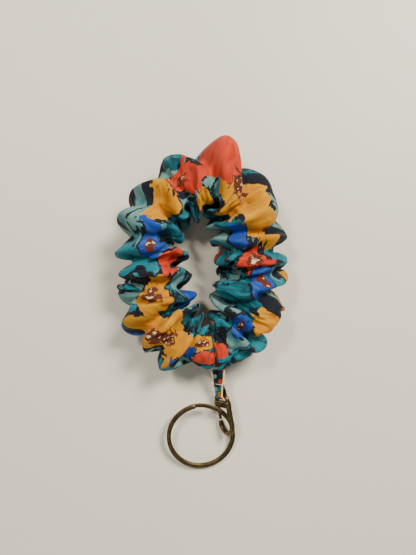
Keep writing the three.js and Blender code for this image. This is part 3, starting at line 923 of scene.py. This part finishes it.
    def settle(self, made: bpy.types.Object, flat: np.ndarray, scale: float) -> None:
        """Let the gathered cloth settle by simulation, then keep its shape.

        Args:
            made: The gathered tube, scaled up.
            flat: The tube's points before gathering, scaled up.
            scale: How much larger than life the simulation runs.
        """
        made.shape_key_add(name="gathered")
        key = made.shape_key_add(name="flat")
        key.data.foreach_set("co", flat.reshape(-1))
        key.value = 0.0
        ends = made.vertex_groups.new(name="sewn")
        last = len(made.data.vertices)
        ends.add(list(range(self.sides)) + list(range(last - self.sides, last)), 1.0, "REPLACE")
        table = bmesh.new()
        bmesh.ops.create_cube(table, size=1.0)
        bmesh.ops.scale(table, vec=(3.0, 3.0, 0.4), verts=table.verts)
        bmesh.ops.translate(table, vec=(0.0, 0.2, -0.2), verts=table.verts)
        forms = [self.core(scale), piece("table_form", table, PaleStone())]
        for form in forms:
            form.modifiers.new("solid", "COLLISION")
            form.collision.thickness_outer = 0.004
            form.collision.thickness_inner = 0.05
        step = made.modifiers.new("cloth", "CLOTH")
        cloth = step.settings
        cloth.quality = 5
        cloth.mass = 0.15
        cloth.tension_stiffness = cloth.compression_stiffness = 15.0
        cloth.shear_stiffness = 3.0
        cloth.bending_stiffness = 160.0
        cloth.tension_damping = cloth.compression_damping = cloth.shear_damping = 5.0
        cloth.bending_damping = 0.5
        cloth.air_damping = 5.0
        cloth.vertex_group_mass = "sewn"
        cloth.rest_shape_key = key
        cloth.use_pressure = True
        cloth.uniform_pressure_force = self.pressure
        cloth.effector_weights.gravity = 0.15
        touch = step.collision_settings
        touch.use_collision = True
        touch.distance_min = 0.004
        touch.use_self_collision = True
        touch.self_distance_min = 0.012
        touch.self_friction = 5.0
        step.point_cache.frame_start = 1
        step.point_cache.frame_end = self.frames + 1
        scene = bpy.context.scene
        scene.frame_start, scene.frame_end = 1, self.frames + 1
        for number in range(1, self.frames + 1):
            scene.frame_set(number)
        state = made.evaluated_get(bpy.context.evaluated_depsgraph_get())
        spots = np.zeros(last * 3)
        state.data.vertices.foreach_get("co", spots)
        made.modifiers.clear()
        made.shape_key_clear()
        made.vertex_groups.clear()
        spots[2::3] = np.maximum(spots[2::3], 0.1 * MM * scale)
        made.data.vertices.foreach_set("co", spots)
        made.data.update()
        for form in forms:
            data = form.data
            bpy.data.objects.remove(form)
            bpy.data.meshes.remove(data)
        scene.frame_set(1)

    def dress(self, made: bpy.types.Object) -> None:
        """Store the print: the patches that show from above, and scattered ones underneath."""
        pick = np.random.default_rng(5)
        under = tuple(
            Blossom(float((i + pick.uniform(0.2, 0.8)) / 22), float(pick.uniform(190, 350)),
                    float(pick.uniform(4.5, 8.0)) * MM, list(Hue)[i * 3 % 5], bool(i % 2))
            for i in range(22)
        )
        share = np.repeat(np.linspace(self.end_share, 1.0 - self.end_share, self.rows), self.sides)
        angle = np.tile((np.arange(self.sides) + 0.5) / self.sides * math.tau - 0.5 * math.pi, self.rows)
        length = Curve(self.loop.points()).length
        Layout(self.blossoms + under, length, 12.5 * MM).store(made.data, share, angle)

    def build(self) -> bpy.types.Object:
        """Make the sleeve.

        Returns:
            The gathered sleeve, open along its long seam underneath.
        """
        scale = 10.0
        start = self.gathered() * scale
        mesh = bmesh.new()
        blank = [Station(Vector((i, 0, 0)), Vector((0, 1, 0)), UP, 1.0, 1.0) for i in range(self.rows)]
        uv = mesh.loops.layers.uv.new("cloth")
        rings = sweep(mesh, blank, self.sides, capped=False)
        spot = {vertex: (i, j) for i, ring in enumerate(rings) for j, vertex in enumerate(ring)}
        for face in mesh.faces:
            wraps = {spot[vertex][1] for vertex in face.verts} == {0, self.sides - 1}
            for corner in face.loops:
                i, j = spot[corner.vert]
                turn = self.sides if wraps and j == 0 else j
                corner[uv].uv = (i / (self.rows - 1) * self.cut_length * 10.0, turn / self.sides * self.cut_width * 10.0)
        order = sorted(mesh.verts, key=lambda vertex: spot[vertex])
        for vertex in order:
            i, j = spot[vertex]
            vertex.co = start[i, j]
        for number, vertex in enumerate(order):
            vertex.index = number
        mesh.verts.sort()
        bmesh.ops.recalc_face_normals(mesh, faces=mesh.faces)
        made = piece("gathered_sleeve", mesh, PrintedCotton())
        along = np.linspace(0.0, self.cut_length * self.fullness * scale, self.rows)
        angle = (np.arange(self.sides) + 0.5) / self.sides * math.tau - 0.5 * math.pi
        round_it = self.cut_width * scale / math.tau
        flat = np.zeros((self.rows, self.sides, 3))
        flat[..., 0] = along[:, None]
        flat[..., 1] = round_it * np.cos(angle)[None, :]
        flat[..., 2] = round_it * np.sin(angle)[None, :]
        self.settle(made, flat, scale)
        made.data.transform(Matrix.Scale(1.0 / scale, 4))
        self.dress(made)
        self.open_seam(made)
        return subdivided(made, 2)

    def open_seam(self, made: bpy.types.Object) -> None:
        """Part the long seam, where the two edges of the cut are sewn together."""
        mesh = bmesh.new()
        mesh.from_mesh(made.data)
        mesh.verts.ensure_lookup_table()
        seam = [edge for edge in mesh.edges
                if all(vertex.index % self.sides == 0 for vertex in edge.verts)]
        bmesh.ops.split_edges(mesh, edges=seam)
        mesh.to_mesh(made.data)
        mesh.free()

    def seam_line(self, made: bpy.types.Object) -> list[Vector]:
        """Points along the inside of the long seam."""
        spots = [made.data.vertices[i * self.sides].co.copy() for i in range(self.rows)]
        inner = [made.data.vertices[i * self.sides].normal.copy() for i in range(self.rows)]
        return [spot - normal * (0.5 * MM) for spot, normal in zip(spots, inner)][4:-4]


# ---------------------------------------------------------------- the tab


@dataclass
class ElasticBand:
    """The strip of elastic inside the sleeve, its two ends overlapped and sewn."""

    loop: Loop
    width: float = 6.0 * MM
    thickness: float = 1.1 * MM
    overlap: float = 11.0 * MM
    inset: float = 0.8 * MM
    ply_step: float = 1.4 * MM
    start: float = 0.5
    waver: float = 0.06 * MM

    def build(self) -> bpy.types.Object:
        """Sweep the strip once round the loop and over its own start."""
        curve = Curve(self.loop.points())
        steps = 420
        stations = []
        for i in range(steps + 1):
            passed = (curve.length + self.overlap) * i / steps
            share = np.array([(self.start + passed / curve.length) % 1.0])
            out = Vector(curve.direction(share)[0]).cross(UP).normalized()
            aside = self.inset + self.ply_step * passed / curve.length
            aside += self.waver * math.sin(passed / (1.7 * MM))
            middle = Vector(curve.at(share)[0]) - out * aside
            stations.append(Station(middle, UP, out, self.width / 2, self.thickness / 2, 5.0))
        mesh = bmesh.new()
        sweep(mesh, stations, 28)
        return piece("elastic_strip", mesh, KnittedElastic())


@dataclass
class Tab:
    """The strap that is folded round the clasp's bar and sewn into the sleeve's seam."""

    pivots: Pivots
    seam_width: float = 6.6 * MM
    fold_width: float = 4.9 * MM
    fold_aside: float = 0.72 * MM
    layer: float = 0.85 * MM
    bar_radius: float = 0.75 * MM
    cup: float = 1.15 * MM
    tuck: float = 2.6 * MM
    stitch_at: float = 0.62
    rows: int = 26
    blossoms: tuple[Blossom, ...] = (
        Blossom(0.03, 12, 3.6 * MM, Hue.CORAL),
        Blossom(0.17, -18, 1.5 * MM, Hue.SAGE),
        Blossom(0.25, 14, 1.6 * MM, Hue.CORAL),
        Blossom(0.35, -16, 1.3 * MM, Hue.SAGE),
        Blossom(0.41, 8, 1.7 * MM, Hue.MUSTARD),
        Blossom(0.60, 0, 2.4 * MM, Hue.TEAL),
        Blossom(0.75, -10, 2.4 * MM, Hue.BLUE),
        Blossom(0.90, 10, 2.4 * MM, Hue.CORAL),
    )

    def frame_at(self, share: float) -> tuple[Vector, Vector, Vector, Vector]:
        """Place, down, width and face directions, from 0 at the seam to 1 at the bar."""
        p = self.pivots
        heading = UP.cross(p.across).normalized() * -1.0
        steep = math.radians(34.0)
        leave = heading * math.cos(steep) - UP * math.sin(steep)
        arrive = p.back * -1.0
        reach = (p.bar - p.seam).length / 3.0
        a, b, c, d = p.seam, p.seam + leave * reach, p.bar - arrive * reach, p.bar
        t = share
        place = a * (1 - t) ** 3 + b * 3 * t * (1 - t) ** 2 + c * 3 * t * t * (1 - t) + d * t ** 3
        down = ((b - a) * (1 - t) ** 2 + (c - b) * 2 * t * (1 - t) + (d - c) * t * t).normalized()
        width = p.across.lerp(p.bar_axis, ease(t)).normalized()
        face = down.cross(width).normalized()
        return place, down, face.cross(down).normalized(), face

    def section(self, place: Vector, width: Vector, face: Vector, half: float, cup: float) -> list[Vector]:
        """A cupped strip across the strap."""
        return [place + width * (half * x) + face * (cup * x * x) for x in (-1.0, -0.86, -0.6, -0.3, 0.0, 0.3, 0.6, 0.86, 1.0)]

    def lanes(self) -> list[list[Vector]]:
        """Sections down the upper layer, round the bar and back along the lower layer."""
        rows = []
        fold = self.bar_radius + 0.28 * MM + self.layer / 2
        side = self.pivots.bar_axis * self.fold_aside
        for layer in (1.0, -1.0):
            span = range(self.rows) if layer > 0 else range(self.rows - 1, -1, -1)
            for i in span:
                share = i / (self.rows - 1)
                place, down, width, face = self.frame_at(share)
                if i == 0:
                    place = place - down * self.tuck
                half = lerp(self.seam_width, self.fold_width, share) / 2 * (1.0 - 0.05 * math.sin(share * 5.0))
                lift = lerp(0.55 * self.layer, fold, ease((share - 0.55) / 0.45))
                cup = self.cup * math.sin(math.pi * min(max(share, 0.08), 0.94)) * (1.0 if layer > 0 else 0.75)
                ripple = 0.10 * MM * math.sin(share * 21.0)
                rows.append(self.section(place + face * (layer * lift + ripple) + side * share, width, face, half, cup))
            if layer > 0:
                place, down, width, face = self.frame_at(1.0)
                for k in range(1, 8):
                    turn = math.pi * k / 8
                    out = face * math.cos(turn) + down * math.sin(turn)
                    rows.append(self.section(place + out * fold + side, width, out, self.fold_width / 2, 0.12 * MM))
        return rows

    def build(self) -> bpy.types.Object:
        """Make the strap as one folded strip of cloth with thickness."""
        rows = self.lanes()
        across = len(rows[0])
        mesh = bmesh.new()
        bmesh.ops.create_grid(mesh, x_segments=len(rows) - 1, y_segments=across - 1, size=1.0)
        uv = mesh.loops.layers.uv.new("cloth")
        edge = mesh.verts.layers.float.new("raw_edge")
        order = sorted(mesh.verts, key=lambda v: (round(v.co.x, 4), round(v.co.y, 4)))
        flat, along = {}, np.zeros(len(order))
        for number, vertex in enumerate(order):
            i, j = divmod(number, across)
            vertex.index = number
            along[number] = i / (len(rows) - 1)
            flat[vertex] = (1.37 + i * 0.0075, 0.93 + j * 0.008)
            vertex[edge] = 1.0 if j in (0, across - 1) else (0.55 if j in (1, across - 2) else 0.0)
            vertex.co = rows[i][j]
        for face in mesh.faces:
            for corner in face.loops:
                corner[uv].uv = flat[corner.vert]
        mesh.verts.sort()
        bmesh.ops.recalc_face_normals(mesh, faces=mesh.faces)
        made = piece("folded_tab", mesh, PrintedCotton("printed_cotton_tab", raw_edge=True))
        bearing = np.tile(np.linspace(-0.5, 0.5, across), len(rows))
        Layout(self.blossoms, 40 * MM, 6 * MM).store(made.data, along, bearing)
        thick = made.modifiers.new("layer", "SOLIDIFY")
        thick.thickness = self.layer * 0.8
        thick.offset = 0.0
        return subdivided(baked(made), 2)

    def wound(self, share: float, turns: int, pitch: float, radius: float) -> bmesh.types.BMesh:
        """A thread wound round both layers.

        Args:
            share: Where on the tab, from 0 at the seam to 1 at the bar.
            turns: Turns of thread.
            pitch: How far it moves down the tab in a turn.
            radius: The thread's radius.

        Returns:
            The thread's mesh.
        """
        place, down, width, face = self.frame_at(share)
        half = lerp(self.seam_width, self.fold_width, share) / 2 + radius
        cup = self.cup * math.sin(math.pi * min(max(share, 0.08), 0.94))
        lift = 1.1 * self.layer + radius
        count = 40 * turns
        spots = []
        for i in range(count):
            angle = -0.5 * math.pi + math.tau * turns * (i + 0.5) / count
            c, s = math.cos(angle), math.sin(angle)
            x = math.copysign(min(1.0, abs(c) * 1.25), c)
            tall = math.copysign(min(1.0, abs(s) * 1.9), s)
            bow = 0.7 * MM * (1.0 - x * x) if s > 0 else 0.0
            spots.append(place + width * (half * x) + face * (lift * tall + cup * x * x)
                         + down * (pitch * turns * i / count + bow))
        mesh = bmesh.new()
        stations = []
        for i, spot in enumerate(spots):
            ahead = (spots[min(i + 1, count - 1)] - spots[max(i - 1, 0)]).normalized()
            u = ahead.cross(down).normalized()
            stations.append(Station(spot, u, ahead.cross(u).normalized(), radius, radius))
        sweep(mesh, stations, 10)
        return mesh


# ---------------------------------------------------------------- the hardware


@dataclass
class Clasp:
    """The lobster clasp's cast body and its lever, in the clasp's own frame."""

    pivots: Pivots
    half_width: float = 5.0 * MM
    thickness: float = 2.4 * MM
    bar_radius: float = 0.75 * MM
    eye_drop: float = 2.6 * MM
    shank_end: float = 5.3 * MM
    claw_end: float = 17.8 * MM
    claw_tip: float = 11.4 * MM
    spine: float = 1.9 * MM
    pin_across: float = -3.1 * MM
    pin_down: float = -4.5 * MM
    slot: float = 1.5 * MM

    def box(self, mesh: bmesh.types.BMesh, x: tuple, y: tuple, z: tuple, bevel: float) -> None:
        """A block with rounded edges, in the clasp's frame."""
        block = bmesh.new()
        bmesh.ops.create_cube(block, size=1.0)
        for vertex in block.verts:
            spans = [lerp(low, high, part + 0.5) for (low, high), part in zip((x, y, z), vertex.co)]
            vertex.co = spans
        bmesh.ops.bevel(block, geom=list(block.edges), offset=bevel, offset_type="OFFSET", segments=3, profile=0.5,
                        affect="EDGES", material=-1)
        for vertex in block.verts:
            vertex.co = self.pivots.local(*vertex.co)
        data = bpy.data.meshes.new("block")
        block.to_mesh(data)
        block.free()
        mesh.from_mesh(data)
        bpy.data.meshes.remove(data)

    def rail(self, mesh: bmesh.types.BMesh, points: Sequence[Vector], reach: Callable, square: float = 2.6) -> None:
        """A cast bar along a path in the clasp's plane."""
        sweep(mesh, along_path(points, self.pivots.face, reach, square), 20)

    def hook(self) -> list[Vector]:
        """The line down the spine and round the claw to its tip."""
        p = self.pivots
        mid = self.half_width - self.spine / 2
        centre = -self.claw_end + self.half_width
        down = [p.local(mid, lerp(-3.4 * MM, centre, i / 14)) for i in range(14)]
        turn = arc(p.local(0, centre), p.bar_axis, p.back, mid, 0.0, -180.0, 30)
        rise = [p.local(-mid, lerp(centre, -self.claw_tip - 0.25 * MM, i / 4)) for i in range(1, 5)]
        return down + turn + rise

    def build_body(self) -> bpy.types.Object:
        """Cast the body from the hook, the cheeks, the shank and the eye."""
        p = self.pivots
        mesh = bmesh.new()
        half = self.thickness / 2

        def hook_reach(share: float) -> tuple[float, float]:
            tip = 1.0 - 0.18 * ease((share - 0.86) / 0.14)
            return self.spine / 2 * 0.96 * tip, half * 0.98 * tip

        self.rail(mesh, self.hook(), hook_reach)
        edge = self.half_width
        block = (-self.eye_drop - 0.45 * MM, -self.eye_drop + 0.05 * MM)
        self.box(mesh, (-edge + 0.15 * MM, edge - 0.15 * MM), block, (-half, half), 0.22 * MM)
        self.box(mesh, (-1.05 * MM, edge - 0.1 * MM), (-self.shank_end, -self.eye_drop), (-half, half), 0.4 * MM)
        for side in (1, -1):
            span = sorted((side * self.slot / 2, side * half))
            self.box(mesh, (-edge + 0.1 * MM, 0.5 * MM), (-self.shank_end, -self.eye_drop), tuple(span), 0.2 * MM)
        corner = 1.55 * MM
        mid = edge - 0.78 * MM
        left = [p.local(-mid, lerp(-self.eye_drop - 0.3 * MM, -corner, i / 4)) for i in range(5)]
        bend = arc(p.local(-mid + corner, -corner), p.bar_axis, p.back, corner, 180.0, 90.0, 8)
        bend2 = arc(p.local(mid - corner, -corner), p.bar_axis, p.back, corner, 90.0, 0.0, 8)
        right = [p.local(mid, lerp(-corner, -self.eye_drop - 0.3 * MM, i / 4)) for i in range(1, 5)]
        radius = self.bar_radius
        self.rail(mesh, left + bend[1:] + bend2 + right,
                  lambda share: (radius, lerp(radius, half * 0.92, (2 * abs(share - 0.5)) ** 3)), 2.1)
        bmesh.ops.recalc_face_normals(mesh, faces=mesh.faces)
        return cast("clasp_casting", mesh, 0.13 * MM, AntiqueBrass())

    def build_lever(self) -> bpy.types.Object:
        """Cast the lever: gate, hub at the pin, heel and thumb nub."""
        p = self.pivots
        mesh = bmesh.new()
        left = -self.half_width + 0.25 * MM
        mid = left + 0.8 * MM
        gate = [p.local(mid - 0.02 * MM, lerp(self.pin_down + 0.4 * MM, -self.claw_tip + 0.42 * MM, i / 12))
                for i in range(13)]
        self.rail(mesh, gate, lambda share: (0.72 * MM, 0.62 * MM), 2.6)
        hub = [p.local(self.pin_across, self.pin_down, z * MM) for z in (-0.6, -0.3, 0.0, 0.3, 0.6)]
        sweep(mesh, [Station(spot, p.bar_axis, p.back, 0.98 * MM, 0.98 * MM) for spot in hub], 24)
        heel = [p.local(lerp(self.pin_across, -1.0 * MM, i / 4), lerp(self.pin_down, self.pin_down - 0.45 * MM, i / 4))
                for i in range(5)]
        self.rail(mesh, heel, lambda share: (lerp(0.6, 0.42, share) * MM, 0.6 * MM), 2.8)
        nub = [p.local(lerp(self.pin_across, -self.half_width - 1.25 * MM, i / 6),
                       lerp(self.pin_down, self.pin_down + 0.15 * MM, i / 6)) for i in range(7)]
        self.rail(mesh, nub, lambda share: (lerp(0.8, 0.62, share) * MM, 0.6 * MM), 2.4)
        bmesh.ops.recalc_face_normals(mesh, faces=mesh.faces)
        return cast("clasp_gate", mesh, 0.10 * MM, AntiqueBrass())


@dataclass
class SplitRing:
    """One wire in two turns that lie on each other."""

    outer_radius: float = 15.0 * MM
    wire_width: float = 1.9 * MM
    wire_thickness: float = 0.9 * MM
    gap: float = 0.15 * MM
    crossover: float = math.radians(34.0)
    start: float = math.radians(100.0)
    high_at: float = math.radians(115.0)
    tilt: float = math.radians(12.0)
    steps: int = 300

    def build(self) -> bpy.types.Object:
        """Sweep the wire round its two turns and step it across at the crossover."""
        low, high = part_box("split_ring")
        centre = (Vector(low) + Vector(high)) / 2
        axis = Vector((math.sin(self.high_at), -math.cos(self.high_at), 0.0))
        turn = Matrix.Rotation(self.tilt, 3, axis)
        radius = self.outer_radius - self.wire_width / 2
        rise = self.wire_thickness + self.gap * 0.35
        swept = 2 * math.tau - self.crossover - 0.03
        stations = []
        for i in range(self.steps + 1):
            turned = swept * i / self.steps
            stepped = ease((turned - (math.tau - self.crossover)) / self.crossover)
            angle = self.start + turned
            out = Vector((math.cos(angle), math.sin(angle), 0.0))
            end = min(turned, swept - turned) / math.radians(2.5)
            taper = 0.55 + 0.45 * min(1.0, end)
            place = out * radius + UP * (rise * (0.5 - stepped))
            stations.append(Station(centre + turn @ place, turn @ UP, turn @ out,
                                    self.wire_thickness / 2 * taper, self.wire_width / 2 * taper, 2.15))
        mesh = bmesh.new()
        sweep(mesh, stations, 16)
        made = piece("split_ring_wire", mesh, AntiqueBrass())
        mark_wear(made.data, 0.2 * MM)
        return made


# ---------------------------------------------------------------- the whole


class Wristlet:
    """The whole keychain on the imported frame."""

    def __init__(self) -> None:
        self.pivots = Pivots(frame["record"])
        self.nodes = frame["nodes"]

    def loop(self) -> Loop:
        """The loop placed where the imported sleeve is."""
        low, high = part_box("sleeve_fabric")
        reach = 14.6 * MM
        loop = Loop()
        loop.middle = Vector(((low[0] + high[0]) / 2, high[1] - reach - loop.far, 0.0))
        return loop

    def build_sleeve(self) -> None:
        """The elastic, the sleeve round it and the thread of the sleeve's long seam."""
        loop = self.loop()
        band = ElasticBand(replace(loop, half_width=20.4 * MM, height=12.0 * MM))
        strip = band.build()
        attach(strip, "wristlet")
        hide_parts("elastic_band")
        sleeve = Sleeve(loop)
        made = sleeve.build()
        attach(made, "wristlet")
        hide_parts("sleeve_fabric")
        line = sleeve.seam_line(made)
        mesh = bmesh.new()
        stations = []
        for i, spot in enumerate(line):
            ahead = (line[min(i + 1, len(line) - 1)] - line[max(i - 1, 0)]).normalized()
            u = ahead.cross(UP).normalized()
            stations.append(Station(spot, u, u.cross(ahead), 0.2 * MM, 0.2 * MM))
        sweep(mesh, stations, 8)
        thread = piece("long_seam_stitches", mesh, SewingThread())
        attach(thread, "wristlet")
        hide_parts("sleeve_seam_thread")

    def build_tab(self) -> None:
        """The folded strap and its two threads."""
        tab = Tab(self.pivots)
        made = tab.build()
        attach(made, "tab")
        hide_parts("tab_strap")
        for name, node, mesh in (
            ("tab_bar_stitch", "tab_stitch", tab.wound(tab.stitch_at, 1, 0.0, 0.18 * MM)),
            ("tab_closing_stitches", "tab_seam_thread", tab.wound(0.06, 3, 0.42 * MM, 0.16 * MM)),
        ):
            thread = piece(name, mesh, SewingThread())
            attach(thread, "tab")
            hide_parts(node)

    def build_hardware(self) -> None:
        """The clasp, its lever and the split ring."""
        clasp = Clasp(self.pivots)
        for made, body, node in (
            (clasp.build_body(), "clasp", "clasp_body"),
            (clasp.build_lever(), "lever", "clasp_lever"),
            (SplitRing().build(), "ring", "split_ring"),
        ):
            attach(made, body)
            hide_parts(node)

    def finish_kept(self) -> None:
        """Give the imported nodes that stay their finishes."""
        kept: dict[str, Finish] = {
            "elastic_join_stitches": SewingThread(),
            "clasp_pin": AntiqueBrass(),
            "clasp_spring": SpringWire(),
        }
        for name, finish in kept.items():
            data = self.nodes[name].data
            data.materials.clear()
            data.materials.append(finish.material())
        p = self.pivots
        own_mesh(self.nodes["clasp_spring"], "lever_open", tuple(p.back), tuple(p.local(0.0, -3.1 * MM)), keep=0.5)

    def build(self) -> None:
        """Make every piece."""
        self.build_sleeve()
        self.build_tab()
        self.build_hardware()
        self.finish_kept()


@dataclass
class Studio:
    """The table, the soft lamps and the camera above the keychain."""

    aim: Vector = field(default_factory=lambda: Vector((2.4 * MM, 14.0 * MM, 4.0 * MM)))
    height: float = 250 * MM
    view_width: float = 182.2 * MM

    def lamp(self, name: str, place: Vector, size: float, power: float, colour: Colour) -> None:
        """One square lamp that faces the keychain."""
        data = bpy.data.lights.new(name, "AREA")
        data.size, data.energy, data.color = size, power, colour
        made = bpy.data.objects.new(name, data)
        made.location = place
        made.rotation_euler = (self.aim - place).to_track_quat("-Z", "Y").to_euler()
        bpy.context.scene.collection.objects.link(made)

    def build(self) -> None:
        """Set the table, the light and the camera."""
        mesh = bmesh.new()
        bmesh.ops.create_grid(mesh, x_segments=8, y_segments=8, size=1.5)
        bmesh.ops.translate(mesh, vec=(0.0, 0.0, -0.05 * MM), verts=mesh.verts)
        piece("table_top", mesh, PaleStone())
        self.lamp("window", Vector((0.34, 0.40, 0.62)), 0.24, 9.4, (1.0, 0.945, 0.87))
        self.lamp("ceiling", Vector((-0.26, 0.34, 0.70)), 0.12, 3.4, (1.0, 0.93, 0.84))
        self.lamp("bounce", Vector((-0.10, -0.60, 0.45)), 0.5, 1.0, (0.95, 0.97, 1.0))
        world = bpy.data.worlds.new("room")
        world.use_nodes = True
        world.node_tree.nodes["Background"].inputs[0].default_value = (0.95, 0.94, 0.92, 1.0)
        world.node_tree.nodes["Background"].inputs[1].default_value = 0.20
        bpy.context.scene.world = world
        data = bpy.data.cameras.new("camera")
        data.sensor_fit = "HORIZONTAL"
        data.sensor_width = 36.0
        data.lens = 36.0 * self.height / self.view_width
        made = bpy.data.objects.new("camera", data)
        made.location = self.aim + Vector((0.0, 0.0, self.height))
        bpy.context.scene.collection.objects.link(made)
        bpy.context.scene.camera = made


def main() -> None:
    """Build the keychain and its setting in order."""
    logging.basicConfig(level=logging.INFO)
    wristlet = Wristlet()
    for name, step in (
        ("sleeve", wristlet.build_sleeve),
        ("tab", wristlet.build_tab),
        ("hardware", wristlet.build_hardware),
        ("kept nodes", wristlet.finish_kept),
        ("studio", Studio().build),
    ):
        step()
        log.info("made the %s", name)


if __name__ == "__main__":
    main()
